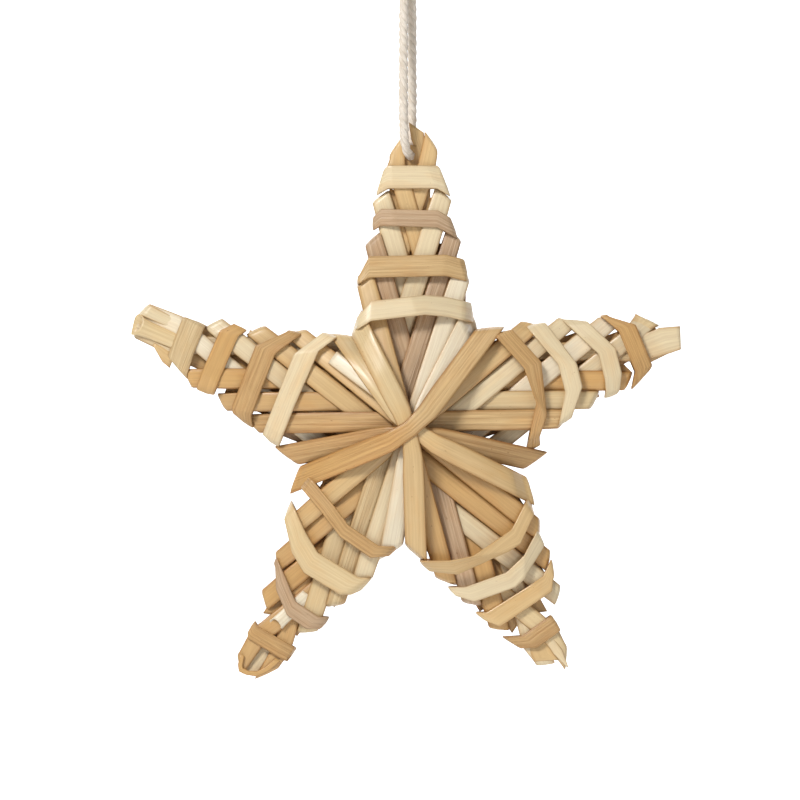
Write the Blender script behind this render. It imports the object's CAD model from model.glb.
import math
import random

import bpy
import numpy as np
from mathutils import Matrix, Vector


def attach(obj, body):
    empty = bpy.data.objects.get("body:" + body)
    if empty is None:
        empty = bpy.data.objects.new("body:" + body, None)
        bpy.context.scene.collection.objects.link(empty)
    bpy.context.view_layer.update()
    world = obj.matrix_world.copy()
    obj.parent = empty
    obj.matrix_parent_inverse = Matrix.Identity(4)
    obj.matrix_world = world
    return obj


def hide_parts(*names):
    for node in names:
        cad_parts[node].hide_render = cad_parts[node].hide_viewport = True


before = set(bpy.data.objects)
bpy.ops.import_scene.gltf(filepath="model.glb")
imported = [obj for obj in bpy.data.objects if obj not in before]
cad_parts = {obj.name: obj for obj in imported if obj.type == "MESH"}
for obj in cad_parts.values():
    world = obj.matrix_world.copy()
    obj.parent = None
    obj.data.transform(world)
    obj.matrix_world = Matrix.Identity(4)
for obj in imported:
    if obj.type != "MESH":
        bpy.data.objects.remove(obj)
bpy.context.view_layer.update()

print("frame loaded:", len(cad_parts), "nodes")

# The photograph looks straight at the front; middle and width of its view in millimetres, distance in metres.
view = {"midRight": -2.02, "midUp": -109.68, "width": 208.0, "distance": 1.6, "sensor": 36.0}

cameraData = bpy.data.cameras.new("photo_camera")
cameraData.sensor_width = view["sensor"]
cameraData.lens = view["sensor"] * view["distance"] / (view["width"] / 1000)
cameraData.clip_start = 0.05
camera = bpy.data.objects.new("photo_camera", cameraData)
camera.location = (view["midRight"] / 1000, -view["distance"], view["midUp"] / 1000)
camera.rotation_euler = (math.radians(90), 0, 0)
bpy.context.collection.objects.link(camera)
bpy.context.scene.camera = camera


class Socket:
    # One output of a node; a sum written with it becomes Math nodes.
    def __init__(self, tree, link):
        self.tree = tree
        self.link = link

    def of(self, operation, *others):
        return self.tree.node("ShaderNodeMath", dict(enumerate([self, *others])), operation=operation)

    def after(self, operation, other):
        return self.tree.node("ShaderNodeMath", {0: other, 1: self}, operation=operation)

    def __add__(self, other):
        return self.of("ADD", other)

    def __radd__(self, other):
        return self.after("ADD", other)

    def __sub__(self, other):
        return self.of("SUBTRACT", other)

    def __rsub__(self, other):
        return self.after("SUBTRACT", other)

    def __mul__(self, other):
        return self.of("MULTIPLY", other)

    def __rmul__(self, other):
        return self.after("MULTIPLY", other)

    def __truediv__(self, other):
        return self.of("DIVIDE", other)

    def __rtruediv__(self, other):
        return self.after("DIVIDE", other)

    def __pow__(self, other):
        return self.of("POWER", other)

    def __rpow__(self, other):
        return self.after("POWER", other)

    def spread(self, low, high, newLow=0.0, newHigh=1.0):
        return self.tree.node("ShaderNodeMapRange", {
            "Value": self, "From Min": low, "From Max": high, "To Min": newLow, "To Max": newHigh})


class Tree:
    def __init__(self, nodeTree):
        self.nodeTree = nodeTree
        self.identifiers = {}

    def fill(self, made, sockets):
        for key, value in sockets.items():
            if isinstance(value, Socket):
                self.nodeTree.links.new(value.link, made.inputs[key])
            else:
                made.inputs[key].default_value = value

    def node(self, kind, sockets=None, give=0, **settings):
        # Any node: its type, its settings, the values or links of its sockets, and the output that is wanted.
        made = self.nodeTree.nodes.new(kind)
        for key, value in settings.items():
            setattr(made, key, value)
        self.fill(made, sockets or {})
        return Socket(self, made.outputs[give]) if len(made.outputs) else made

    def input(self, name, kind, value=None):
        # A named input of the group, with its first value.
        socket = self.nodeTree.interface.new_socket(name, in_out="INPUT", socket_type=kind)
        if value is not None:
            socket.default_value = value
        self.identifiers[name] = socket.identifier

    def given(self, name):
        return self.node("NodeGroupInput", give=name)

    def vectors(self, operation, first, second=None, **others):
        sockets = {0: first, **others}
        if second is not None:
            sockets[1] = second
        return self.node("ShaderNodeVectorMath", sockets, operation=operation)

    def noise(self, place, scale=1.0, detail=2.0, rough=0.5):
        return self.node("ShaderNodeTexNoise", {
            "Vector": place, "Scale": scale, "Detail": detail, "Roughness": rough})

    def mix(self, share, first, second, blend="MIX"):
        first, second = ((*colour, 1.0) if isinstance(colour, tuple) else colour for colour in (first, second))
        return self.node("ShaderNodeMix", {0: share, 6: first, 7: second}, give=2, data_type="RGBA", blend_type=blend)


def newMaterial(name):
    material = bpy.data.materials.new(name)
    material.use_nodes = True
    return material, Tree(material.node_tree), material.node_tree.nodes["Principled BSDF"]


def linear(red, green, blue):
    def one(value):
        value /= 255
        return value / 12.92 if value <= 0.04045 else ((value + 0.055) / 1.055) ** 2.4
    return (one(red), one(green), one(blue))


# Colours of the straws, by the names used in the tables below.
tones = {
    "white": linear(237, 226, 203),
    "pale": linear(231, 214, 180),
    "cream": linear(226, 203, 160),
    "gold": linear(220, 189, 139),
    "orange": linear(213, 172, 113),
    "tan": linear(210, 173, 120),
    "brown": linear(207, 180, 149),
    "plum": linear(206, 178, 147),
}

grains = {
    "smooth": {"lines": 0.28, "bump": 0.25, "rough": 0.32, "coat": 0.3},
    "grained": {"lines": 0.62, "bump": 0.6, "rough": 0.38, "coat": 0.2},
}


# Stretches along and across a straw, and what the colour is multiplied by.
strawPattern = {
    "fibre": (0.35, 19.0, 1.0), "thread": (1.6, 70.0, 1.0), "cloud": (0.7, 2.2, 1.0), "speck": (7.0, 16.0, 1.0),
    "dark": (0.68, 0.56, 0.45), "light": (1.06, 1.045, 0.99), "warm": (1.0, 0.86, 0.7), "spot": (0.5, 0.34, 0.22),
    "coatRough": 0.25, "shine": 0.45, "bumpDepth": 0.0002,
}


def strawMaterial(name, grain):
    material, tree, shader = newMaterial(name)
    place = tree.node("ShaderNodeUVMap", uv_map="UVMap")  # along the straw and across it, in centimetres
    tone = tree.node("ShaderNodeAttribute", give="Color", attribute_name="tone")

    def streaks(stretch, detail, rough):
        return tree.noise(tree.vectors("MULTIPLY", place, strawPattern[stretch]), 1.0, detail, rough)

    def tinted(colour, tint):
        return tree.mix(1.0, colour, strawPattern[tint], "MULTIPLY")

    fibre = streaks("fibre", 3.0, 0.6)
    thread = streaks("thread", 2.0, 0.5)
    cloud = streaks("cloud", 3.0, 0.55)
    speck = streaks("speck", 2.0, 0.6)
    lines = fibre.spread(0.38, 0.62)
    darkness = (1.0 - lines) * grain["lines"] + (1.0 - thread.spread(0.35, 0.6)) * (grain["lines"] * 0.4)
    colour = tree.mix(darkness, tinted(tone, "light"), tinted(tone, "dark"))
    colour = tree.mix(cloud.spread(0.5, 0.78, 0.0, 0.75), colour, tinted(colour, "warm"))
    colour = tree.mix(speck.spread(0.7, 0.76, 0.0, 0.7), colour, tinted(colour, "spot"))
    bump = tree.node("ShaderNodeBump", {
        "Strength": grain["bump"], "Distance": strawPattern["bumpDepth"], "Height": lines * 0.7 + thread * 0.5})
    tree.fill(shader, {
        "Base Color": colour, "Roughness": (1.0 - lines) * 0.18 + thread * 0.1 + (grain["rough"] - 0.05),
        "Coat Weight": grain["coat"], "Coat Roughness": strawPattern["coatRough"],
        "Specular IOR Level": strawPattern["shine"], "Normal": bump})
    return material


strawLooks = {name: strawMaterial("straw_" + name, grain) for name, grain in grains.items()}

cordCotton = {"dark": linear(213, 198, 179), "light": linear(246, 237, 224), "rough": 0.9, "sheen": 0.3,
              "yarn": (4.0, 40.0, 1.0), "fuzz": 1800.0, "bump": 0.6, "bumpDepth": 0.0002}


def cordMaterial():
    material, tree, shader = newMaterial("cotton_cord")
    place = tree.node("ShaderNodeUVMap", uv_map="UVMap")
    yarn = tree.noise(tree.vectors("MULTIPLY", place, cordCotton["yarn"]), 1.0, 3.0, 0.6)
    fuzz = tree.noise(tree.node("ShaderNodeTexCoord", give="Object"), cordCotton["fuzz"], 3.0, 0.6)
    bump = tree.node("ShaderNodeBump", {
        "Strength": cordCotton["bump"], "Distance": cordCotton["bumpDepth"], "Height": yarn * 0.7 + fuzz * 0.4})
    tree.fill(shader, {
        "Base Color": tree.mix(yarn.spread(0.3, 0.7), cordCotton["dark"], cordCotton["light"]),
        "Roughness": cordCotton["rough"], "Sheen Weight": cordCotton["sheen"], "Normal": bump})
    return material


cordLook = cordMaterial()
print("materials made:", len(bpy.data.materials))

# Warm dark edges and inner sides, as light is lost between straws that lie close together.
dusk = {"power": 6.0, "inside": 0.8, "taken": (0.34, 0.5, 0.68)}


def buildStripTree():
    # A closed flat strip round a path of points, each with its centre, half width, lift, measure and shade.
    tree = Tree(bpy.data.node_groups.new("strip_along_path", "GeometryNodeTree"))
    tree.input("Path", "NodeSocketGeometry")
    tree.input("Section Points", "NodeSocketInt", 20)
    tree.input("Edge Sharpness", "NodeSocketFloat", 0.55)
    tree.input("Underside", "NodeSocketFloat", 0.6)
    tree.input("Ridge Height", "NodeSocketFloat", 0.00004)
    tree.input("Ridge Count", "NodeSocketFloat", 7.0)
    tree.input("Wobble", "NodeSocketFloat", 0.00012)
    tree.input("Edge Shade", "NodeSocketFloat", 1.0)
    tree.input("Seed", "NodeSocketFloat", 0.0)
    tree.input("Material", "NodeSocketMaterial")
    tree.nodeTree.interface.new_socket("Geometry", in_out="OUTPUT", socket_type="NodeSocketGeometry")
    path, points, seed = tree.given("Path"), tree.given("Section Points"), tree.given("Seed")
    sharpness = tree.given("Edge Sharpness")

    rings = tree.node("GeometryNodeAttributeDomainSize", {0: path}, give="Point Count")
    around = points + 1.0
    grid = tree.node("GeometryNodeMeshGrid", {"Vertices X": rings, "Vertices Y": around}, give="Mesh")
    index = tree.node("GeometryNodeInputIndex")
    ring = ((index + 0.01) / around).of("FLOOR")
    turn = (index - ring * around) / points * math.tau

    def fromPath(name):
        named = tree.node("GeometryNodeInputNamedAttribute", {"Name": name}, data_type="FLOAT_VECTOR")
        return tree.node("GeometryNodeSampleIndex", {"Geometry": path, "Value": named, "Index": ring},
                         data_type="FLOAT_VECTOR")

    def shaped(wave, power):
        return wave.of("SIGN") * wave.of("ABSOLUTE") ** power

    def vector(x, y, z):
        return tree.node("ShaderNodeCombineXYZ", {0: x, 1: y, 2: z})

    sine = turn.of("SINE")
    across = shaped(turn.of("COSINE"), 1.0 - sharpness * 0.35)
    bulge = shaped(sine, sharpness)
    up = bulge.of("MAXIMUM", 0.0) + bulge.of("MINIMUM", 0.0) * tree.given("Underside")
    measure = fromPath("measure")
    along = tree.node("ShaderNodeSeparateXYZ", {0: measure}, give=0)
    halfWidth = tree.node("ShaderNodeSeparateXYZ", {0: measure}, give=1)
    ridges = tree.noise(vector(along * 14.0, across * tree.given("Ridge Count"), seed), 1.0, 1.0)
    wobbles = tree.noise(vector(along * 90.0, across * 0.6, seed + 31.0), 1.0, 1.0)
    roughness = (ridges - 0.5) * tree.given("Ridge Height") * 2.0 + (wobbles - 0.5) * tree.given("Wobble")

    lift = fromPath("lift")
    length = tree.node("ShaderNodeVectorMath", {0: lift}, give="Value", operation="LENGTH")
    push = roughness * length.of("GREATER_THAN", 0.000001)  # none at the closed ends
    position = tree.vectors("ADD", fromPath("centre"), tree.vectors("SCALE", fromPath("across"), Scale=across))
    position = tree.vectors("ADD", position, tree.vectors("SCALE", lift, Scale=up))
    position = tree.vectors("ADD", position, tree.vectors("SCALE", tree.vectors("NORMALIZE", lift), Scale=push))

    # The UV map, in centimetres, goes through a point attribute on its way to the corners.
    flatPlace = vector(along * 100.0, across * halfWidth * 100.0 + seed, 0.0)
    mesh = tree.node("GeometryNodeStoreNamedAttribute", {"Geometry": grid, "Name": "flat", "Value": flatPlace},
                     data_type="FLOAT_VECTOR", domain="POINT")
    flat = tree.node("GeometryNodeInputNamedAttribute", {"Name": "flat"}, data_type="FLOAT_VECTOR")
    mesh = tree.node("GeometryNodeStoreNamedAttribute", {"Geometry": mesh, "Name": "UVMap", "Value": flat},
                     data_type="FLOAT2", domain="CORNER")
    inside = (sine * -1.0).of("MAXIMUM", 0.0) * dusk["inside"]
    gloom = (across.of("ABSOLUTE") ** dusk["power"] + inside).of("MINIMUM", 1.0) * tree.given("Edge Shade")
    kept = tree.vectors("SUBTRACT", (1.0, 1.0, 1.0), tree.vectors("SCALE", dusk["taken"], Scale=gloom))
    shade = tree.vectors("MULTIPLY", fromPath("shade"), kept)
    mesh = tree.node("GeometryNodeStoreNamedAttribute", {"Geometry": mesh, "Name": "tone", "Value": shade},
                     data_type="FLOAT_COLOR", domain="POINT")
    mesh = tree.node("GeometryNodeSetPosition", {"Geometry": mesh, "Position": position})
    mesh = tree.node("GeometryNodeMergeByDistance", {"Geometry": mesh, "Distance": 0.000004})
    mesh = tree.node("GeometryNodeSetShadeSmooth", {"Geometry": mesh})
    mesh = tree.node("GeometryNodeRealizeInstances", {"Geometry": mesh})
    mesh = tree.node("GeometryNodeSetMaterial", {"Geometry": mesh, "Material": tree.given("Material")})
    tree.node("NodeGroupOutput", {0: mesh})
    return tree


stripTree = buildStripTree()


def pathMesh(name, rings):
    # Rings are (centre, across, lift, measure, shade) in metres; they become points with attributes.
    mesh = bpy.data.meshes.new(name)
    count = len(rings)
    mesh.from_pydata([tuple(ring[0]) for ring in rings], [(i, i + 1) for i in range(count - 1)], [])
    for place, attribute in enumerate(("centre", "across", "lift", "measure", "shade")):
        layer = mesh.attributes.new(attribute, "FLOAT_VECTOR", "POINT")
        layer.data.foreach_set("vector", np.array([ring[place] for ring in rings], dtype=np.float32).ravel())
    return mesh


def runTree(tree, name, mesh, values):
    holder = bpy.data.objects.new(name + "_path", mesh)
    bpy.context.collection.objects.link(holder)
    modifier = holder.modifiers.new("strip", "NODES")
    modifier.node_group = tree.nodeTree
    for key, value in values.items():
        modifier[tree.identifiers[key]] = value
    holder.update_tag()
    graph = bpy.context.evaluated_depsgraph_get()
    result = bpy.data.meshes.new_from_object(holder.evaluated_get(graph), depsgraph=graph)
    result.name = name
    bpy.data.objects.remove(holder)
    bpy.data.meshes.remove(mesh)
    piece = bpy.data.objects.new(name, result)
    bpy.context.collection.objects.link(piece)
    # Turned right side out, should its volume come out negative.
    volume = 0.0
    verts = np.empty(len(result.vertices) * 3, dtype=np.float32)
    result.vertices.foreach_get("co", verts)
    verts = verts.reshape(-1, 3)
    for face in result.polygons:
        a = verts[face.vertices[0]]
        for k in range(1, len(face.vertices) - 1):
            volume += float(np.dot(a, np.cross(verts[face.vertices[k]], verts[face.vertices[k + 1]])))
    if volume < 0:
        result.flip_normals()
    return piece


# Layout of the star, in millimetres. seek and lay: margins beside a straw's length and its folds, when the straws
# under it are looked for and when it is laid. hubBend and hubPull: how the last round is drawn to the middle.
star = {
    "hubRight": 1.1, "hubDrop": 118, "gap": 0.3, "strawThick": 0.5, "strawWidths": [4.3, 4.8, 4.6, 4.7, 5.0],
    "foldRise": 0.85, "foldReach": 0.85, "endGap": 0.5, "bandThick": 0.7, "tipHalf": 3.6,
    "seek": (0.45, 0.3), "lay": (0.3, 0.2), "hubBend": 0.2, "hubPull": 0.06,
    "rounds": [1, 0.665, 0.46, 0.275, 0.055], "foldSlants": [0, 0.4, 0.5, 0.7, 0.9],
    "facing": [-90, -62, -36, -15, 0, 15, 36, 62, 90],
    "flankOuts": [30, 38, 46, 54],
    "notches": [(-14.0, 24.4), (-29.6, -8.6), (-1.8, -29.4), (29.9, -12.0), (16.6, 26.5)],
    "pairs": [(0, 2), (4, 1), (1, 3), (3, 0), (2, 4)],
    "roundOrder": [[0, 3, 1, 2, 4], [3, 1, 4, 2, 0], [3, 1, 4, 2, 0], [1, 4, 0, 2, 3], [0, 1, 2, 3, 4]],
}
lastRound = len(star["rounds"]) - 1

arms = [
    {"name": "top", "angle": 90, "reach": 78, "inset": (0.7, 0.1),
     "widths": [(15.6, 14.2, 12.2, 10.4), (14, 12.5, 10.4, 9.3)],
     "right": [(72.2, -6.6), (77.0, -3.3), (69.4, -3.9)], "left": [(70.9, 5.8), (76.4, 1.9), (69.4, 4.1)],
     "bands": [
         (6, [(8.6, 63.6), (6.3, 66.2), (-6.6, 66.2), (-9.2, 63.4)]),
         (4.4, [(10.4, 53.2), (8.1, 55.7), (-6.9, 55.3), (-11.2, 52.7)]),
         (5.6, [(13.4, 38), (11.1, 42.8), (-8.9, 43.2), (-13.6, 42)]),
         (5.2, [(13.6, 27.6), (10.6, 31.3), (-3.4, 32.9), (-8.9, 32.4), (-15.2, 31)]),
     ],
     "tones": ["pale", "brown", "gold", "pale"], "grains": ["smooth", "grained", "grained", "smooth"]},
    {"name": "left", "angle": 158, "reach": 75, "inset": (0.7, 0.7),
     "widths": [(15.4, 12.5, 9.8, 7.8), (16.8, 13.8, 11.8, 10.4)],
     "right": [(74.6, -5.2), (76.4, -0.6), (67, -3.0)], "left": [(74.8, 4.4), (76.2, 0.2), (67, 2.6)],
     "bands": [
         (6.2, [(8.8, 62.4), (7.4, 63.2), (-5.2, 63.2), (-8.2, 60.8)]),
         (5, [(12, 52.6), (10.3, 53.8), (-5.2, 54.1), (-8.6, 51)]),
         (5.6, [(14.5, 41), (11.8, 43), (-5.6, 43.2), (-11.6, 37.4)]),
         (5.2, [(15.6, 33.2), (-9.5, 33.4), (-14.7, 28.9)]),
     ],
     "tones": ["cream", "orange", "tan", "pale"], "grains": ["grained", "smooth", "grained", "smooth"]},
    {"name": "lower_left", "angle": 235.6, "reach": 73, "inset": (0.7, 1.1),
     "widths": [(16.2, 12.0, 10.2, 7.8), (12.6, 12, 9.9, 8.4)],
     "right": [(72.3, -4.7), (75.6, -0.8), (66.5, -3.0)], "left": [(69.2, 6.0), (75.0, 2.5), (65.5, 3.9)],
     "bands": [
         (4.4, [(6.2, 65.5), (-4.7, 66.4), (-8.7, 60.9)]),
         (4.2, [(9.4, 53.4), (6.5, 55.6), (0, 55.4), (-6, 51.6), (-9.4, 47)]),
         (6.4, [(11.7, 38.6), (9.8, 42), (-2.5, 42.7), (-8, 40.2), (-14.3, 34.4)]),
         (3.8, [(12.7, 28.3), (9.5, 31), (0, 31), (-7, 28.6), (-14.5, 26.6)]),
     ],
     "tones": ["tan", "plum", "cream", "tan"], "grains": ["grained", "grained", "smooth", "grained"]},
    {"name": "lower_right", "angle": 301.7, "reach": 69.5, "inset": (1.1, 0.7),
     "widths": [(15.4, 13.2, 10.6, 8.4), (17.6, 15, 12.8, 10.6)],
     "right": [(67.4, -4.3), (69.4, 0.1), (63.5, -2.5)], "left": [(67.6, 4.9), (72.2, 1.4), (63.5, 3.0)],
     "bands": [
         (4.8, [(8.2, 61.6), (-3.8, 62.4), (-7.2, 57.6)]),
         (4.6, [(12.4, 47.8), (9.2, 52), (-7.3, 52.7), (-10, 48.4)]),
         (4.6, [(13.4, 41), (8.2, 44.7), (1.7, 46.1), (-9.3, 43.7), (-12.8, 39.6)]),
         (4.4, [(15.2, 33), (8.7, 37.2), (-4.3, 37.7), (-9.3, 35.4), (-15.3, 30.6)]),
     ],
     "tones": ["tan", "gold", "pale", "gold"], "grains": ["grained", "smooth", "smooth", "smooth"]},
    {"name": "right", "angle": 19.5, "reach": 72.5, "inset": (0.7, 0.7),
     "widths": [(13.6, 10.2, 8.4, 7), (18, 16.2, 14, 11.2)],
     "right": [(69.6, -3.0), (73.4, 2.4), (65, -1.2)], "left": [(64.4, 8.8), (68.6, 4.6), (62.4, 4.6)],
     "bands": [
         (4.8, [(11, 56), (6.9, 61.6), (-4.6, 62.2), (-7.8, 57.4)]),
         (4.8, [(14, 49), (2.9, 54.7), (-6.1, 53.8), (-8.6, 51)]),
         (4.8, [(14.9, 39.8), (3.9, 43.9), (-3.6, 43.2), (-9.8, 38.2)]),
         (4.8, [(15.2, 31.4), (5.9, 35.2), (-3.6, 35.2), (-12.1, 28.4)]),
     ],
     "tones": ["orange", "pale", "pale", "tan"], "grains": ["grained", "smooth", "smooth", "grained"]},
]

# beside: straws next to the tip straw, seen only in the gaps under the first wraps.
tipStraws = [
    {"width": 3.5, "cut": 0.95, "points": [(79.2, -1.1), (76.6, -1.5), (71.6, -3.2), (60, -3.0), (50.5, -2.2)],
     "beside": [([(74.6, 0.4), (63, 0.7), (48, 1.2)], 5.2, 0), ([(62.6, 4.2), (47, 5.0)], 3.4, 0.5),
                ([(61.5, -6.1), (47, -5.8)], 2.8, -0.5)]},
    {"width": 4.0, "cut": 0.1, "points": [(75.6, -0.2), (62, 0), (50, 0)],
     "beside": [([(61.6, 3.8), (47, 4.2)], 3.6, 0.4), ([(61.2, -3.8), (47, -4.2)], 3.4, -0.4)]},
    {"width": 3.4, "cut": -0.5, "points": [(75.9, 0.6), (66, 0.5), (58, 0), (50, 0)],
     "beside": [([(60, 3.6), (46, 4.2)], 3.6, 0.4), ([(60, -3.6), (46, -4.2)], 3.6, -0.4)]},
    {"width": 3.4, "cut": 0.3, "points": [(69.2, 0.6), (56, 0), (48.5, 0)],
     "beside": [([(57.4, 3.7), (45, 4.2)], 3.6, 0.4), ([(57.4, -3.6), (45, -4.2)], 3.6, -0.4)]},
    {"width": 4.2, "cut": 0.3, "points": [(68.6, 2.6), (62, 1.2), (56, 0), (48.5, 0)],
     "beside": [([(59, 4.9), (45, 4.6)], 3.8, 0.4), ([(58.5, -3.2), (45, -4.2)], 3.2, -0.4)]},
]

bundle = [{"edge": 2.1, "from": 9.5, "to": 47.5}, {"edge": 6.2, "from": 12.5, "to": 44},
          {"edge": 10.2, "from": 20.5, "to": 34}]
shortStraw = {"width": 3.9, "points": [(-20.6, 19.4), (-3.4, 6.6)]}

# Tones of each wound straw by round: on its first arm and on its second, its grain, and the share of its length
# where the tone changes, if that isn't halfway.
strawTones = {
    (0, 2): [("gold", "tan", 0), ("pale", "cream", 0), ("brown", "cream", 1), ("white", "pale", 0),
             ("white", "white", 0)],
    (4, 1): [("cream", "pale", 1), ("orange", "orange", 0), ("cream", "tan", 0), ("gold", "tan", 1),
             ("tan", "tan", 1)],
    (1, 3): [("white", "cream", 0), ("pale", "pale", 0), ("gold", "orange", 0), ("gold", "orange", 0),
             ("cream", "gold", 0)],
    (3, 0): [("pale", "gold", 0), ("orange", "pale", 0), ("plum", "brown", 1), ("orange", "gold", 0),
             ("gold", "cream", 0, 0.62)],
    (2, 4): [("tan", "pale", 0), ("orange", "white", 0), ("tan", "pale", 0), ("gold", "gold", 0),
             ("orange", "gold", 1)],
}

for number, arm in enumerate(arms):
    turn = math.radians(arm["angle"])
    arm["out"] = np.array([math.cos(turn), math.sin(turn)])
    arm["side"] = np.array([-math.sin(turn), math.cos(turn)])
    arm["flank"] = []
    for hand in (-1, 1):
        notch = np.array(star["notches"][number if hand > 0 else (number + 4) % 5])
        outs = [float(notch @ arm["out"]), *star["flankOuts"], arm["reach"]]
        offsets = [abs(float(notch @ arm["side"])), *arm["widths"][1 if hand > 0 else 0], star["tipHalf"]]
        arm["flank"].append((outs, offsets))


def onArm(arm, out, left):
    return arm["out"] * out + arm["side"] * left


def flankAt(arm, hand, out):
    return float(np.interp(out, *arm["flank"][1 if hand > 0 else 0]))


def flankPoint(arm, hand, share):
    start = arm["flank"][1 if hand > 0 else 0][0][0]
    out = start + share * (arm["reach"] - start)
    return onArm(arm, out, hand * (flankAt(arm, hand, out) - arm["inset"][1 if hand > 0 else 0]))


# How far the straws laid so far stand out from the middle plane, on a grid of cells.
cell = 0.5
halfGrid = 92
cells = round(2 * halfGrid / cell) + 1
laid = np.zeros((cells, cells))


def overCells(corners, margin):
    points = np.array(corners)
    low = np.maximum(0, np.floor((points.min(axis=0) - margin + halfGrid) / cell).astype(int))
    high = np.minimum(cells - 1, np.ceil((points.max(axis=0) + margin + halfGrid) / cell).astype(int))
    i, j = np.meshgrid(np.arange(low[0], high[0] + 1), np.arange(low[1], high[1] + 1), indexing="ij")
    x = i * cell - halfGrid
    z = j * cell - halfGrid
    area = 0.0
    for k in range(len(points)):
        a, b = points[k], points[(k + 1) % len(points)]
        area += a[0] * b[1] - b[0] * a[1]
    way = 1 if area > 0 else -1
    inside = np.ones(x.shape, dtype=bool)
    for k in range(len(points)):
        a, b = points[k], points[(k + 1) % len(points)]
        length = math.hypot(*(b - a))
        if length < 1e-6:
            continue
        inside &= way * ((b[0] - a[0]) * (z - a[1]) - (b[1] - a[1]) * (x - a[0])) / length > -margin
    return i[inside], j[inside]


def topOver(corners, margin):
    i, j = overCells(corners, margin)
    return float(laid[i, j].max()) if len(i) else 0.0


def raiseOver(corners, margin, top):
    i, j = overCells(corners, margin)
    laid[i, j] = np.maximum(laid[i, j], top)


def stationsOf(plan):
    stations = []
    run = 0.0
    for i in range(len(plan) - 1):
        a, b = plan[i], plan[i + 1]
        length = math.hypot(*(b["middle"] - a["middle"]))
        steps = max(1, math.floor(length + 0.5))
        for k in range(0 if i == 0 else 1, steps + 1):
            t = k / steps
            stations.append({"run": run + t * length, "left": a["left"] + (b["left"] - a["left"]) * t,
                             "right": a["right"] + (b["right"] - a["right"]) * t})
        run += length
    return stations


def layStraw(plan):
    stations = stationsOf(plan)
    last = len(stations) - 1
    thick = star["strawThick"]
    under = [0.0] * (last + 1)
    for i in range(last):
        a, b = stations[i], stations[i + 1]
        top = topOver([a["left"], b["left"], b["right"], a["right"]], star["seek"][0])
        under[i] = max(under[i], top)
        under[i + 1] = max(under[i + 1], top)
    needed = [max(star["foldRise"], top + star["gap"] + thick / 2 if top > 0 else 0) for top in under]
    for end in (0, last):
        shift = plan[0 if end == 0 else -1]["outward"] * (star["foldReach"] + thick)
        left, right = stations[end]["left"], stations[end]["right"]
        top = topOver([left, right, right + shift, left + shift], star["seek"][1])
        if top > 0:
            needed[end] = max(needed[end], top + star["gap"] + thick / 2)
    hull = []
    for i in range(last + 1):
        while len(hull) > 1:
            a, b = hull[-2], hull[-1]
            rise = (needed[b] - needed[a]) * (stations[i]["run"] - stations[a]["run"])
            if rise > (needed[i] - needed[a]) * (stations[b]["run"] - stations[a]["run"]):
                break
            hull.pop()
        hull.append(i)
    runs = [station["run"] for station in stations]
    height = np.interp(runs, [runs[i] for i in hull], [needed[i] for i in hull])
    for i, station in enumerate(stations):
        station["height"] = float(height[i])
    for i in range(last):
        a, b = stations[i], stations[i + 1]
        raiseOver([a["left"], b["left"], b["right"], a["right"]], star["lay"][0],
                  max(height[i], height[i + 1]) + thick / 2)
    for end in (0, last):
        shift = plan[0 if end == 0 else -1]["outward"] * (star["foldReach"] + thick / 2)
        left, right = stations[end]["left"], stations[end]["right"]
        raiseOver([left, right, right + shift, left + shift], star["lay"][1], height[end] + thick / 2)
    return stations


def unit(vector):
    return vector / math.hypot(*vector)


def planOf(middles, width, slants):
    plan = []
    last = len(middles) - 1
    for i, middle in enumerate(middles):
        onward = unit(middles[i + 1] - middle) if i < last else None
        inward = unit(middle - middles[i - 1]) if i > 0 else None
        along = onward if i == 0 else inward if i == last else unit(inward + onward)
        bend = 1 if i in (0, last) else float(along @ onward)
        across = np.array([-along[1], along[0]]) * (width / 2 / bend)
        slant = slants[0] if i == 0 else slants[1] if i == last else 0
        lean = along * (slant * width / 2)
        plan.append({"middle": middle, "left": middle + across + lean, "right": middle - across - lean,
                     "outward": along * (-1 if i == 0 else 1)})
    return plan


def foldAt(arm, corners):
    left, right = onArm(arm, *corners[0]), onArm(arm, *corners[1])
    return {"left": left, "right": right, "middle": (left + right) / 2, "outward": arm["out"].copy()}


straws = []
for roundNumber, share in enumerate(star["rounds"]):
    for order in star["roundOrder"][roundNumber]:
        pair = star["pairs"][order]
        a, b = arms[pair[0]], arms[pair[1]]
        if roundNumber == 0:
            start, finish = foldAt(a, a["right"]), foldAt(b, b["left"])
            plan = planOf([start["middle"], onArm(a, *a["right"][2]), onArm(b, *b["left"][2]), finish["middle"]],
                          star["strawWidths"][0], (0, 0))
            plan[0], plan[3] = start, finish
        else:
            start, finish = flankPoint(a, -1, share), flankPoint(b, 1, share)
            middles = [start, finish]
            if roundNumber == lastRound:
                middles[1:1] = [start * star["hubBend"], (start + finish) * star["hubPull"], finish * star["hubBend"]]
            slant = star["foldSlants"][roundNumber]
            plan = planOf(middles, star["strawWidths"][roundNumber], (slant, -slant))
        stations = layStraw(plan)
        straws.append({"name": f"straw_{a['name']}_{b['name']}_{roundNumber + 1}", "stations": stations,
                       "startOut": plan[0]["outward"], "endOut": plan[-1]["outward"], "round": roundNumber,
                       "tones": strawTones[pair][roundNumber]})
    if roundNumber == lastRound - 1:
        shortPlan = planOf([np.array(point) for point in shortStraw["points"]], shortStraw["width"], (0, 0))
        shortStations = layStraw(shortPlan)
print("straws laid:", len(straws), "hub half thickness", round(float(laid.max()), 2), "mm")


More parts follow.
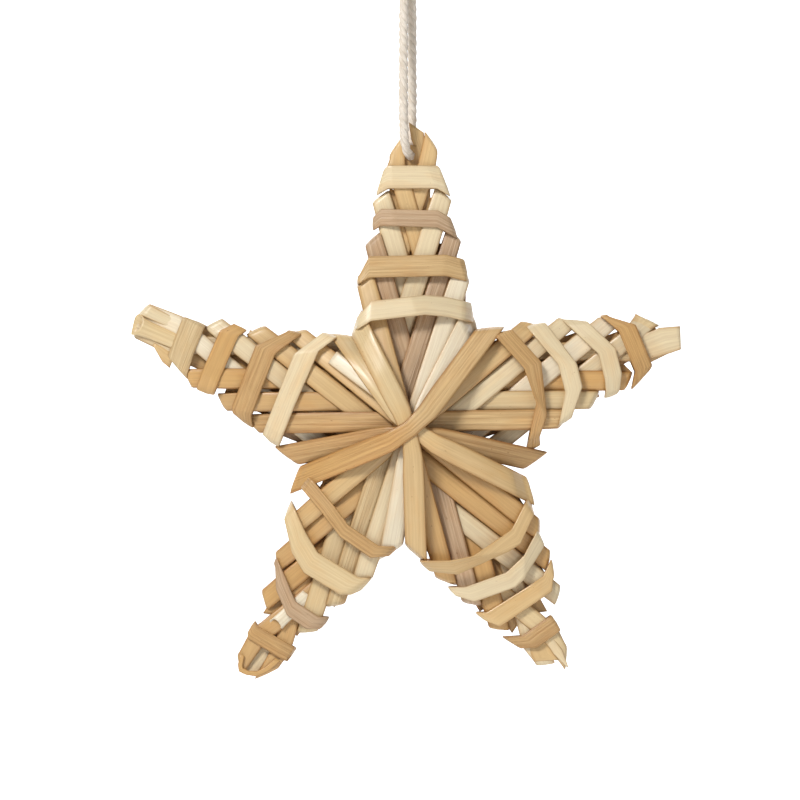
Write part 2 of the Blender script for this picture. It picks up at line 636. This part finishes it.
strawLook = {"thick": 1.3, "sectionPoints": 22, "edge": 0.7, "underside": 0.45, "ridge": 0.00013, "wobble": 0.00018,
             "foldSpread": 1.04, "midSpread": 1.13, "dusk": 1.0, "soften": 0.12, "toneVary": (0.94, 1.05),
             "widthVary": (0.97, 1.04), "turnShare": 0.12, "spreadRun": 7, "hubSpread": 1.14, "hubPinch": 0.26,
             "pinchRun": 6.5, "foldStep": 18, "backRun": 11, "hubBackRun": 7}
# Seeds of the strips, so that no two straws show the same grain.
seeds = {"woundStep": 3.7, "tip": 100, "short": 131, "core": 140, "band": 200, "bandStep": 5.3, "leaf": 300}
origin = np.array([star["hubRight"], 0.0, -star["hubDrop"]])


def placeRing(middle, depth):
    return (np.array([middle[0], -depth, middle[1]]) + origin) / 1000


def ringOf(left, right, depth, normal, outward, run, width, shade, thick):
    middle = (left + right) / 2
    half = (left - right) / 2
    centre = placeRing(middle, depth)
    lift = np.array([outward[0] * normal[0], -normal[1], outward[1] * normal[0]]) * thick / 2000
    return (centre, np.array([half[0], 0, half[1]]) / 1000, lift, (run / 1000, width / 2000, 0.0), shade)


def closedEnds(rings):
    first, last = rings[0], rings[-1]
    none = np.zeros(3)
    return ([(first[0], none, none, first[3], first[4]), *rings, (last[0], none, none, last[3], last[4])])


def smoothed(values, reach):
    padded = np.concatenate([np.full(reach, values[0]), values, np.full(reach, values[-1])])
    return np.convolve(padded, np.ones(2 * reach + 1) / (2 * reach + 1), mode="valid")


def strawRings(straw):
    stations = straw["stations"]
    total = stations[-1]["run"]
    heights = np.array([station["height"] for station in stations])
    soft = np.maximum(smoothed(heights, 2), heights - strawLook["soften"])
    soft[0], soft[-1] = heights[0], heights[-1]
    first, second = (np.array(tones[name]) for name in straw["tones"][:2])
    chance = random.Random(straw["name"])
    first = first * chance.uniform(*strawLook["toneVary"])
    second = second * chance.uniform(*strawLook["toneVary"])
    swing = chance.uniform(*strawLook["widthVary"])
    thick = strawLook["thick"]
    width = star["strawWidths"][straw["round"]]
    turning = straw["tones"][3] if len(straw["tones"]) > 3 else 0.5

    def shadeAt(run):
        share = (run / total - turning + strawLook["turnShare"] / 2) / strawLook["turnShare"]
        share = min(1.0, max(0.0, share))
        return tuple(first + (second - first) * share)

    def spreadAt(run):
        # Flattened straws are widest between their folds, and those of the last round are pinched at the hub.
        edge = min(1.0, min(run, total - run) / strawLook["spreadRun"])
        scale = strawLook["foldSpread"] + (strawLook["midSpread"] - strawLook["foldSpread"]) * edge
        if straw["round"] == lastRound:
            pinch = math.exp(-((run - total / 2) / strawLook["pinchRun"]) ** 2)
            scale = strawLook["hubSpread"] - strawLook["hubPinch"] * pinch
        return scale * swing

    def widened(station, run):
        middle = (station["left"] + station["right"]) / 2
        half = (station["left"] - station["right"]) / 2 * spreadAt(run)
        return middle + half, middle - half

    def leg(side, low, high):
        found = []
        for i, station in enumerate(stations):
            if low <= station["run"] <= high:
                left, right = widened(station, station["run"])
                found.append(ringOf(left, right, side * soft[i], (0, side), (0, 0),
                                    station["run"], width, shadeAt(station["run"]), thick))
        return found

    def fold(station, outward, way, run):
        found = []
        left, right = widened(station, station["run"])
        for angle in range(strawLook["foldStep"], 180, strawLook["foldStep"]):
            turn = math.radians(angle)
            bulge = outward * star["foldReach"] * math.sin(turn)
            found.append(ringOf(left + bulge, right + bulge, station["height"] * math.cos(turn),
                                (math.sin(turn), math.cos(turn)), outward, run, width, shadeAt(run), thick))
        return found if way > 0 else found[::-1]

    cut = strawLook["hubBackRun"] if straw["round"] == lastRound else strawLook["backRun"]
    rings = leg(-1, -1, cut)[::-1]
    rings += fold(stations[0], straw["startOut"], -1, 0)
    rings += leg(1, -1, total + 1)
    rings += fold(stations[-1], straw["endOut"], 1, total)
    rings += leg(-1, cut + star["endGap"], total + 1)[::-1]
    return closedEnds(rings)


def makeStrip(name, rings, grain, seed, settings):
    return runTree(stripTree, name, pathMesh(name, rings), {
        "Section Points": settings["sectionPoints"], "Edge Sharpness": settings["edge"],
        "Underside": settings["underside"], "Ridge Height": settings["ridge"], "Wobble": settings["wobble"],
        "Edge Shade": settings["dusk"], "Seed": seed, "Material": strawLooks[grain]})


def joinPieces(name, pieces):
    bpy.ops.object.select_all(action="DESELECT")
    for piece in pieces:
        piece.select_set(True)
    bpy.context.view_layer.objects.active = pieces[0]
    bpy.ops.object.join()
    pieces[0].name = name
    return pieces[0]


mouthLook = {"rings": 12, "fall": 5, "flat": 0.7, "ragged": 0.3, "phase": 0.7, "uvStep": 0.08, "uvRound": 1.2}


def openEnd(name, look):
    # A short length of hollow straw with a flared mouth, both walls in one closed skin.
    arm = arms[look["arm"]]
    (mouthOut, mouthSide), (footOut, footSide) = look["from"], look["to"]
    rows = []
    count = mouthLook["rings"]
    for wall, order in ((0.0, range(count + 1)), (look["wall"], range(count, -1, -1))):
        for k in order:
            t = k / count
            flare = look["flare"] * math.exp(-t * mouthLook["fall"])
            half = (look["width"] / 2 + flare - wall, look["height"] / 2 + flare * mouthLook["flat"] - wall)
            out = mouthOut + (footOut - mouthOut) * t
            side = mouthSide + (footSide - mouthSide) * t
            row = []
            for step in range(look["sides"]):
                turn = math.tau * step / look["sides"]
                ragged = mouthLook["ragged"] * math.sin(turn * 2 + mouthLook["phase"])
                ragged -= look["slant"] * math.sin(turn)
                flat = onArm(arm, out + ragged * (1 - t) ** mouthLook["fall"], side + half[0] * math.cos(turn))
                row.append(tuple(placeRing(flat, look["depth"] + half[1] * math.sin(turn))))
            rows.append(row)
    sides = look["sides"]
    faces = []
    for i in range(len(rows)):
        after = (i + 1) % len(rows)
        for k in range(sides):
            following = (k + 1) % sides
            faces.append((i * sides + k, i * sides + following, after * sides + following, after * sides + k))
    mesh = bpy.data.meshes.new(name)
    mesh.from_pydata([point for row in rows for point in row], [], faces)
    layer = mesh.uv_layers.new(name="UVMap")
    for face in mesh.polygons:
        for corner, vertex in zip(face.loop_indices, face.vertices):
            row, step = divmod(vertex, sides)
            layer.data[corner].uv = (row * mouthLook["uvStep"], step / sides * mouthLook["uvRound"] + look["seed"])
        face.use_smooth = True
    shade = mesh.attributes.new("tone", "FLOAT_COLOR", "POINT")
    shade.data.foreach_set("color", np.tile([*tones[look["tone"]], 1.0], (len(mesh.vertices), 1)).ravel())
    mesh.materials.append(strawLooks["smooth"])
    piece = bpy.data.objects.new(name, mesh)
    bpy.context.collection.objects.link(piece)
    bpy.context.view_layer.objects.active = piece
    piece.select_set(True)
    bpy.ops.object.mode_set(mode="EDIT")
    bpy.ops.mesh.select_all(action="SELECT")
    bpy.ops.mesh.normals_make_consistent(inside=False)
    bpy.ops.object.mode_set(mode="OBJECT")
    return piece


openEnds = [
    {"arm": 1, "from": (76.8, 1.0), "to": (64.5, 1.2), "width": 4.0, "height": 1.5, "flare": 0.85, "slant": 1.1,
     "wall": 0.22, "depth": 2.1, "sides": 28, "tone": "cream", "seed": 3.0},
    {"arm": 2, "from": (61.0, -0.9), "to": (50.0, 1.6), "width": 3.5, "height": 1.3, "flare": 0.2, "slant": 0.6,
     "wall": 0.22, "depth": 2.6, "sides": 28, "tone": "white", "seed": 5.0},
]

# Split and folded straw ends at the tips: (left, right) pairs of corners as (out, side), from the foot to the point.
leaves = [
    {"arm": 1, "tone": "gold", "depth": (1.2, 1.5), "rows": [
        ((64.6, 8.2), (64.6, 3.4)), ((67, 7.4), (67, 3.6)), ((70.9, 4.3), (70.7, 3.7))]},
    {"arm": 1, "tone": "pale", "depth": (1.7, 2.1), "rows": [
        ((63, -1.4), (63, -4.4)), ((70, -1.5), (70, -4.6)), ((76.7, -1.7), (75.4, -5.1))]},
    {"arm": 2, "tone": "orange", "depth": (1.9, 2.0), "rows": [
        ((68.4, 5.4), (68.4, 3.9)), ((72.6, 4.3), (72.0, 2.9)), ((75.2, 2.6), (73.9, 1.9)), ((76.4, 0), (75.1, 0)),
        ((76.7, -2.0), (75.3, -1.7)), ((75.4, -3.2), (74.6, -2.2)), ((72.6, -4.3), (72.6, -3.0))]},
    {"arm": 3, "tone": "gold", "depth": (1.2, 1.4), "rows": [
        ((63, 1.6), (63, -3.8)), ((67.8, 1.4), (67.4, -4.4)), ((70.4, 1.2), (69.9, 0.4))]},
    {"arm": 3, "tone": "pale", "depth": (1.6, 2.0), "rows": [
        ((62, 2.9), (62, 0.7)), ((68.6, 3.5), (68.6, 1.0)), ((73.3, 2.5), (73.0, 2.1))]},
    {"arm": 4, "tone": "pale", "depth": (1.6, 2.1), "rows": [
        ((62, 3.6), (62, -2.6)), ((69.6, 4.1), (70.0, -3.1)), ((74.8, 2.7), (73.0, -3.1))]},
    {"arm": 4, "tone": "cream", "depth": (1.3, 1.5), "rows": [
        ((61.6, 6.2), (62.6, 3.4)), ((65.0, 9.6), (69.3, 4.8))]},
]


tipLook = {"thick": 0.5, "tones": ["gold", "orange", "pale", "orange", "orange"], "besideTone": "tan",
           "leafWidth": 4.0, "leafThick": 0.7}


def tipLeaf(name, look, seed):
    plan = [{"left": onArm(arms[look["arm"]], *left), "right": onArm(arms[look["arm"]], *right)}
            for left, right in look["rows"]]
    for corner in plan:
        corner["middle"] = (corner["left"] + corner["right"]) / 2
    stations = stationsOf(plan)
    run = stations[-1]["run"]
    rings = []
    for station in stations:
        t = station["run"] / run
        depth = look["depth"][0] + (look["depth"][1] - look["depth"][0]) * t
        rings.append(ringOf(station["left"], station["right"], depth, (0, 1), (0, 0), station["run"],
                            tipLook["leafWidth"], tones[look["tone"]], tipLook["leafThick"]))
    return makeStrip(name, closedEnds(rings), "smooth", seed, strawLook)


def finishPiece(piece, node):
    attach(piece, "root")
    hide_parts(node)


for number, straw in enumerate(straws):
    grain = "grained" if straw["tones"][2] else "smooth"
    piece = makeStrip("wound_" + straw["name"], strawRings(straw), grain, number * seeds["woundStep"], strawLook)
    finishPiece(piece, straw["name"])
print("wound straws made:", len(straws))

for number, (arm, tip) in enumerate(zip(arms, tipStraws)):
    laidStraws = []
    for lane, (points, width, cut) in enumerate([(tip["points"], tip["width"], tip["cut"]), *tip["beside"]]):
        stations = stationsOf(planOf([onArm(arm, *point) for point in points], width, (cut, 0)))
        shade = tones[tipLook["tones"][number] if lane == 0 else tipLook["besideTone"]]
        rings = [ringOf(station["left"], station["right"], 0, (0, 1), (0, 0), station["run"], width, shade,
                        tipLook["thick"]) for station in stations]
        laidStraws.append(makeStrip(f"tip_{arm['name']}_{lane}", closedEnds(rings), "smooth",
                                    seeds["tip"] + number * 4 + lane, strawLook))
    laidStraws += [openEnd(f"open_end_{arm['name']}", look) for look in openEnds if look["arm"] == number]
    laidStraws += [tipLeaf(f"leaf_{arm['name']}_{place}", look, seeds["leaf"] + place)
                   for place, look in enumerate(leaves) if look["arm"] == number]
    finishPiece(joinPieces("laid_tip_straw_" + arm["name"], laidStraws), "tip_straw_" + arm["name"])
print("tip straws made:", len(tipStraws))

rings = [ringOf(station["left"], station["right"], station["height"], (0, 1), (0, 0), station["run"],
                shortStraw["width"], tones["white"], strawLook["thick"]) for station in shortStations]
piece = makeStrip("laid_short_straw", closedEnds(rings), "smooth", seeds["short"], strawLook)
finishPiece(piece, "short_straw")


coreLook = {**strawLook, "thick": 0.6, "room": 0.2, "least": 1, "long": 40, "early": 3.5, "late": 6.0,
            "latest": 15.0, "outer": {"edge": 15.2, "from": 26, "to": 23},
            "tones": ["tan", "orange", "brown", "tan", "gold"]}
for number, arm in enumerate(arms):
    laidStraws = []
    lanes = [(0.0, bundle[0]["from"], bundle[0]["to"] + coreLook["late"], bundle[0]["edge"] * 2)]
    for inner, outer in zip(bundle, [*bundle[1:], coreLook["outer"]]):
        high = outer["to"] + (coreLook["late"] if outer["to"] > coreLook["long"] else coreLook["latest"])
        for hand in (-1, 1):
            edge = min(outer["edge"], flankAt(arm, hand, high) - coreLook["room"])
            if edge - inner["edge"] > coreLook["least"]:
                lanes.append((hand * (inner["edge"] + edge) / 2, outer["from"] - coreLook["early"], high,
                              edge - inner["edge"]))
    for lane, (offset, low, high, width) in enumerate(lanes):
        stations = stationsOf(planOf([onArm(arm, low, offset), onArm(arm, high, offset)], width, (0, 0)))
        shade = tones[coreLook["tones"][(lane + number) % 5]]
        rings = [ringOf(station["left"], station["right"], 0, (0, 1), (0, 0), station["run"], width, shade,
                        coreLook["thick"]) for station in stations[::4] + [stations[-1]]]
        name = f"core_{arm['name']}_{lane}"
        laidStraws.append(makeStrip(name, closedEnds(rings), "grained", seeds["core"] + number * 5 + lane, coreLook))
    finishPiece(joinPieces("bundle_" + arm["name"], laidStraws), "core_bundle_" + arm["name"])
print("core bundles made:", len(arms))


# Crease, step, room beside a crease and the run of the lap's rise are in metres, like the ridges and the wobble.
bandLook = {"thick": 0.55, "sectionPoints": 18, "edge": 0.3, "underside": 1.0, "ridge": 0.00006, "wobble": 0.0001,
            "dusk": 0.5, "lap": 6.0, "lapRise": 0.55, "runOn": 0.6, "steepest": 0.8, "lowSteepest": 0.6,
            "proud": 0.35, "flankWidth": 0.55, "margin": 0.6, "overlap": 0.2, "rowRoom": 0.9, "rowSpan": (0.05, 0.95),
            "crease": 0.00018, "step": 0.0011, "creaseRoom": 0.0006, "riseRun": 0.003, "toneVary": (0.96, 1.04)}


def pointsNear(arm, covers):
    found = []

    def add(edge, height):
        out, left = float(edge @ arm["out"]), float(edge @ arm["side"])
        if not covers(out, left):
            return
        if abs(left) < flankAt(arm, left, out) + 2:
            found.append((out, left, height))

    half = star["strawThick"] / 2
    for straw in straws:
        stations = straw["stations"]
        last = len(stations) - 1
        for i, station in enumerate(stations):
            following = stations[min(last, i + 1)]
            for t in (0, 0.5):
                height = station["height"] + (following["height"] - station["height"]) * t
                left = station["left"] + (following["left"] - station["left"]) * t
                right = station["right"] + (following["right"] - station["right"]) * t
                add(left, height + half)
                add(right, height + half)
                add((left + right) / 2, height + half)
        for i, outward in ((0, straw["startOut"]), (last, straw["endOut"])):
            for angle in (30, 60, 90):
                turn = math.radians(angle)
                reach = outward * (star["foldReach"] + half) * math.sin(turn)
                for t in (0, 0.25, 0.5, 0.75, 1):
                    edge = stations[i]["left"] + (stations[i]["right"] - stations[i]["left"]) * t + reach
                    add(edge, (stations[i]["height"] + half) * math.cos(turn))
    return np.array(found)


def bandRows(arm, sizes):
    # Rows across the wrap from right to left on the front: low and high edge as (out, side, height).
    width, line = sizes
    lineSides = [point[0] for point in line][::-1]
    lineOuts = [point[1] for point in line][::-1]

    def middleAt(left):
        middle = float(np.interp(left, lineSides, lineOuts))
        for end, inner, way in ((0, 1, -1), (-1, -2, 1)):
            beyond = min(max(0.0, (left - lineSides[end]) * way), bandLook["runOn"])
            slope = (lineOuts[end] - lineOuts[inner]) / abs(lineSides[end] - lineSides[inner])
            middle += max(slope, -bandLook["steepest"]) * beyond
        return middle

    limit = 1 + bandLook["margin"] / width
    points = pointsNear(arm, lambda out, left: abs(out - middleAt(left)) / (width / 2) <= limit)
    points[:, 0] = [(out - middleAt(left)) / (width / 2) for out, left, _ in points]
    ways = np.radians(star["facing"])
    pull = points[:, 1:2] * np.sin(ways) + points[:, 2:3] * np.cos(ways)
    lowReach = pull[points[:, 0] <= bandLook["overlap"]].max(axis=0)
    highReach = pull[points[:, 0] >= -bandLook["overlap"]].max(axis=0)
    share = (points[:, 0:1] + limit) / (2 * limit)
    short = max(0.0, float((pull - (lowReach + (highReach - lowReach) * share)).max()))

    def corner(k, across, lift):
        t = (across + limit) / (2 * limit)
        a, b = ways[k], ways[k + 1]
        ra = lowReach[k] + (highReach[k] - lowReach[k]) * t + short + lift
        rb = lowReach[k + 1] + (highReach[k + 1] - lowReach[k + 1]) * t + short + lift
        det = math.sin(a) * math.cos(b) - math.cos(a) * math.sin(b)
        return (ra * math.cos(b) - rb * math.cos(a)) / det, (rb * math.sin(a) - ra * math.sin(b)) / det

    lift = star["gap"] + star["bandThick"] / 2
    corners = [[corner(k, across, lift) for across in (-1, 1)] for k in range(len(ways) - 1)]
    rows = [corners[0]]
    room, (least, most) = bandLook["rowRoom"], bandLook["rowSpan"]
    for before, after in zip(corners, corners[1:]):
        for left in [side for side in lineSides if before[0][0] + room < side < after[0][0] - room]:
            row = []
            for start, end in zip(before, after):
                t = min(most, max(least, (left - start[0]) / (end[0] - start[0])))
                row.append((start[0] + (end[0] - start[0]) * t, start[1] + (end[1] - start[1]) * t))
            rows.append(row)
        rows.append(after)

    def drawnIn(side):
        # Past the drawn end of its line the strip stands out only a little.
        for end, way in ((0, -1), (-1, 1)):
            beyond = (side - lineSides[end]) * way
            if beyond > 0:
                return lineSides[end] + way * beyond * bandLook["proud"]
        return side

    def edgeOut(side, across):
        # At a flank the strip folds over: its high edge slants down, and its low edge stays up.
        out = middleAt(side) + across * width / 2
        if across > 0:
            return out
        for inner, way in ((1, -1), (-2, 1)):
            beyond = (side - lineSides[inner]) * way
            if beyond > 0:
                out = max(out, lineOuts[inner] - width / 2 - bandLook["lowSteepest"] * beyond)
        return out

    placed = [[(edgeOut(drawnIn(side), across), drawnIn(side), height)
               for across, (side, height) in zip((-1, 1), row)] for row in rows]
    for end in (0, -1):
        low, high = (np.array(point) for point in placed[end])
        placed[end][1] = tuple(low + (high - low) * bandLook["flankWidth"])
    return placed


def placeOn(arm, point, face):
    flat = onArm(arm, point[0], point[1])
    return (np.array([flat[0], -face * point[2], flat[1]]) + origin) / 1000


def bandRings(arm, sizes, shade):
    corners = bandRows(arm, sizes)
    loop = [tuple(placeOn(arm, end, 1) for end in ends) for ends in corners]
    loop += [tuple(placeOn(arm, end, -1) for end in ends) for ends in corners[::-1]]
    count = len(loop)
    # The strip starts and ends on the back, where its two ends lap.
    middles = [(low + high) / 2 for low, high in loop]
    back = corners[::-1]
    start = len(corners) + min(range(len(back)), key=lambda k: abs(back[k][0][1] + back[k][1][1]))
    path = [loop[(start + k) % count] for k in range(count + 1)]
    lengths = [0.0]
    for k in range(count):
        a, b = middles[(start + k) % count], middles[(start + k + 1) % count]
        lengths.append(lengths[-1] + float(np.linalg.norm(b - a)))
    total = lengths[-1]
    lows = np.array([pair[0] for pair in path])
    highs = np.array([pair[1] for pair in path])
    lap = bandLook["lap"] / 1000
    crease, riseRun = bandLook["crease"], bandLook["riseRun"]
    creases = [length + turn for length in lengths for turn in (-crease, crease)]
    steps = [step for step in np.arange(-lap / 2, total + lap / 2, bandLook["step"])
             if min(abs(step - length) for length in lengths) > bandLook["creaseRoom"]]
    runs = sorted([*steps, *(c for c in creases if -lap / 2 < c < total + lap / 2), total + lap / 2])
    inner = np.array([float(length) for length in lengths])
    samples = []
    for run in runs:
        wrapped = run % total
        low = np.array([np.interp(wrapped, inner, lows[:, axis]) for axis in range(3)])
        high = np.array([np.interp(wrapped, inner, highs[:, axis]) for axis in range(3)])
        samples.append((run, low, high))
    centreAll = np.array([(low + high) / 2 for _, low, high in samples])
    tangents = np.gradient(centreAll, axis=0)
    axis = np.array([arm["out"][0], 0, arm["out"][1]])
    rings = []
    for k, (run, low, high) in enumerate(samples):
        across = (high - low) / 2
        normal = np.cross(tangents[k], across)
        normal /= np.linalg.norm(normal)
        radial = centreAll[k] - centreAll.mean(axis=0)
        radial -= axis * float(radial @ axis)
        if float(normal @ radial) < 0:
            normal = -normal
        over = run - (total - lap / 2 - riseRun)
        rise = min(1.0, max(0.0, over / riseRun)) * bandLook["lapRise"] / 1000
        centre = centreAll[k] + normal * rise
        rings.append((centre, across, normal * bandLook["thick"] / 2000,
                      (run + lap, float(np.linalg.norm(across)), 0.0), shade))
    return closedEnds(rings)


made = 0
for arm in arms:
    for number, sizes in enumerate(arm["bands"]):
        name = f"band_{arm['name']}_{number + 1}"
        chance = random.Random(name)
        shade = tuple(np.array(tones[arm["tones"][number]]) * chance.uniform(*bandLook["toneVary"]))
        rings = bandRings(arm, sizes, shade)
        seed = seeds["band"] + made * seeds["bandStep"]
        piece = makeStrip("wrap_" + name, rings, arm["grains"][number], seed, bandLook)
        finishPiece(piece, name)
        made += 1
print("wrap bands made:", made)


cordSettings = {
    "thick": 2.4, "plies": 3, "pitch": 6.6, "plyPoints": 12, "plyShare": 0.3, "step": 0.45, "swell": 0.05,
    "swellRate": 2.1, "wobble": 0.00003, "shade": (0.8, 0.8, 0.8), "pathStep": 3.0,
    "points": [
        (-1.9, -1.35, 117.2), (-2.15, -1.9, 110), (-2.26, -3.2, 96), (-2.26, -4.4, 84), (-2.16, -4.8, 78.6),
        (-1.9, -4.5, 75.4), (-1.3, -3.1, 73.0), (-0.7, -1.5, 72.1), (-0.35, 0, 71.8), (-0.3, 1.5, 72.1),
        (-0.2, 3.1, 73.0), (-0.1, 4.5, 75.4), (-0.02, 4.8, 78.6), (0.04, 4.4, 84), (0.04, 3.2, 96),
        (0.0, 1.9, 110), (-0.3, 1.35, 117.2)],
}


def centripetal(points, perSpan):
    points = [np.array(point, dtype=float) for point in points]
    padded = [2 * points[0] - points[1], *points, 2 * points[-1] - points[-2]]
    found = []
    for i in range(1, len(padded) - 2):
        p0, p1, p2, p3 = padded[i - 1:i + 3]
        t = [0.0]
        for a, b in ((p0, p1), (p1, p2), (p2, p3)):
            t.append(t[-1] + max(1e-6, np.linalg.norm(b - a)) ** 0.5)
        for k in range(perSpan):
            s = t[1] + (t[2] - t[1]) * k / perSpan
            a1 = p0 * (t[1] - s) / (t[1] - t[0]) + p1 * (s - t[0]) / (t[1] - t[0])
            a2 = p1 * (t[2] - s) / (t[2] - t[1]) + p2 * (s - t[1]) / (t[2] - t[1])
            a3 = p2 * (t[3] - s) / (t[3] - t[2]) + p3 * (s - t[2]) / (t[3] - t[2])
            b1 = a1 * (t[2] - s) / (t[2] - t[0]) + a2 * (s - t[0]) / (t[2] - t[0])
            b2 = a2 * (t[3] - s) / (t[3] - t[1]) + a3 * (s - t[1]) / (t[3] - t[1])
            found.append(b1 * (t[2] - s) / (t[2] - t[1]) + b2 * (s - t[1]) / (t[2] - t[1]))
    found.append(points[-1])
    return np.array(found)


def evenly(points, step):
    lengths = np.concatenate([[0], np.cumsum(np.linalg.norm(np.diff(points, axis=0), axis=1))])
    runs = np.linspace(0, lengths[-1], max(3, round(lengths[-1] / step) + 1))
    return np.stack([np.interp(runs, lengths, points[:, axis]) for axis in range(3)], axis=1), runs


def framesAlong(points):
    tangents = np.gradient(points, axis=0)
    tangents /= np.linalg.norm(tangents, axis=1)[:, None]
    side = np.cross(tangents[0], (0, 0.3, 1) if abs(tangents[0][2]) < 0.9 else (1, 0, 0))
    side /= np.linalg.norm(side)
    sides = []
    for tangent in tangents:
        side = side - tangent * float(side @ tangent)
        side /= np.linalg.norm(side)
        sides.append(side)
    sides = np.array(sides)
    return tangents, sides, np.cross(tangents, sides)


def twistedCord(name, points, thick, pitch, lookUp):
    # Three plies laid round one path, each its own closed tube, joined in one mesh.
    route, runs = evenly(np.array(points), cordSettings["step"])
    _, sides, ups = framesAlong(route)
    plyRadius = thick * cordSettings["plyShare"]
    plyOffset = thick / 2 - plyRadius
    pieces = []
    for ply in range(cordSettings["plies"]):
        phase = ply * math.tau / cordSettings["plies"]
        angles = phase - runs * math.tau / pitch
        centres = route + plyOffset * (np.cos(angles)[:, None] * sides + np.sin(angles)[:, None] * ups)
        _, plySides, plyUps = framesAlong(centres)
        rings = []
        for k in range(len(centres)):
            swell = plyRadius * (1 + cordSettings["swell"] * math.sin(runs[k] * cordSettings["swellRate"] + ply))
            rings.append(((centres[k] + origin) / 1000, plySides[k] * swell / 1000, plyUps[k] * swell / 1000,
                          (runs[k] / 1000, swell / 1000, 0.0), cordSettings["shade"]))
        tube = runTree(stripTree, f"{name}_ply_{ply}", pathMesh(name, closedEnds(rings)), {
            "Section Points": cordSettings["plyPoints"], "Edge Sharpness": 1.0, "Underside": 1.0,
            "Ridge Height": 0.0, "Wobble": cordSettings["wobble"], "Seed": 3.0 * ply, "Material": lookUp})
        pieces.append(tube)
    return joinPieces(name, pieces), route


cordRoute = centripetal(cordSettings["points"], 8)
cord, cordPath = twistedCord("twisted_cord", cordRoute, cordSettings["thick"], cordSettings["pitch"], cordLook)
finishPiece(cord, "hanging_cord")

# The knot: both strands wound round themselves twice, their ends standing up.
knotSettings = {"thick": 2.3, "pitch": 9.0, "turns": 2.4, "steps": 60, "radius": 1.9, "bulge": 0.35, "foot": 118.8,
                "rise": 3.6, "ends": [(-0.2, 0.6, 123.3), (-0.3, 0.2, 124.2)]}
knotPoints = []
for k in range(knotSettings["steps"] + 1):
    t = k / knotSettings["steps"]
    angle = t * math.tau * knotSettings["turns"]
    radius = knotSettings["radius"] + knotSettings["bulge"] * math.sin(t * math.pi)
    knotPoints.append((-star["hubRight"] + radius * math.cos(angle), radius * math.sin(angle),
                       knotSettings["foot"] + t * knotSettings["rise"]))
knotPoints += [(-star["hubRight"] + right, back, up) for right, back, up in knotSettings["ends"]]
knot, _ = twistedCord("cord_knot_wound", centripetal(knotPoints, 2), knotSettings["thick"], knotSettings["pitch"],
                      cordLook)
finishPiece(knot, "cord_knot")
tuple((cordPath[0] + origin) / 1000)


stagePlanes = {
    "pale_floor": {"size": 9.0, "place": (0, 0, -0.45), "tilt": 0, "glow": 0.12},
    "pale_backdrop": {"size": 12.0, "place": (0, 3.2, 0.6), "tilt": 90, "glow": 1.0},
}
for name, look in stagePlanes.items():
    half = look["size"] / 2
    mesh = bpy.data.meshes.new(name)
    mesh.from_pydata([(-half, -half, 0), (half, -half, 0), (half, half, 0), (-half, half, 0)], [], [(0, 1, 2, 3)])
    plane = bpy.data.objects.new(name, mesh)
    plane.location = look["place"]
    plane.rotation_euler = (math.radians(look["tilt"]), 0, 0)
    bpy.context.collection.objects.link(plane)
    material, tree, shader = newMaterial(name)
    tree.fill(shader, {"Base Color": (0.9, 0.9, 0.9, 1), "Emission Color": (1, 1, 1, 1),
                       "Emission Strength": look["glow"], "Roughness": 0.9})
    mesh.materials.append(material)

lightAim = (0, 0, -0.12)
lights = {
    "key_light": {"place": (-0.6, -1.0, 0.75), "size": 0.35, "power": 15.3},
    "fill_light": {"place": (0.9, -1.3, 0.1), "size": 0.9, "power": 2.2},
}
for name, look in lights.items():
    lamp = bpy.data.objects.new(name, bpy.data.lights.new(name, "AREA"))
    lamp.data.size = look["size"]
    lamp.data.energy = look["power"]
    lamp.location = look["place"]
    lamp.rotation_euler = (Vector(lightAim) - Vector(look["place"])).to_track_quat("-Z", "Y").to_euler()
    bpy.context.collection.objects.link(lamp)

world = bpy.data.worlds.new("studio")
world.use_nodes = True
worldLight = 0.17
world.node_tree.nodes["Background"].inputs[0].default_value = (1, 1, 1, 1)
world.node_tree.nodes["Background"].inputs[1].default_value = worldLight
bpy.context.scene.world = world
bpy.context.scene.view_settings.view_transform = "Standard"

print("scene ready")
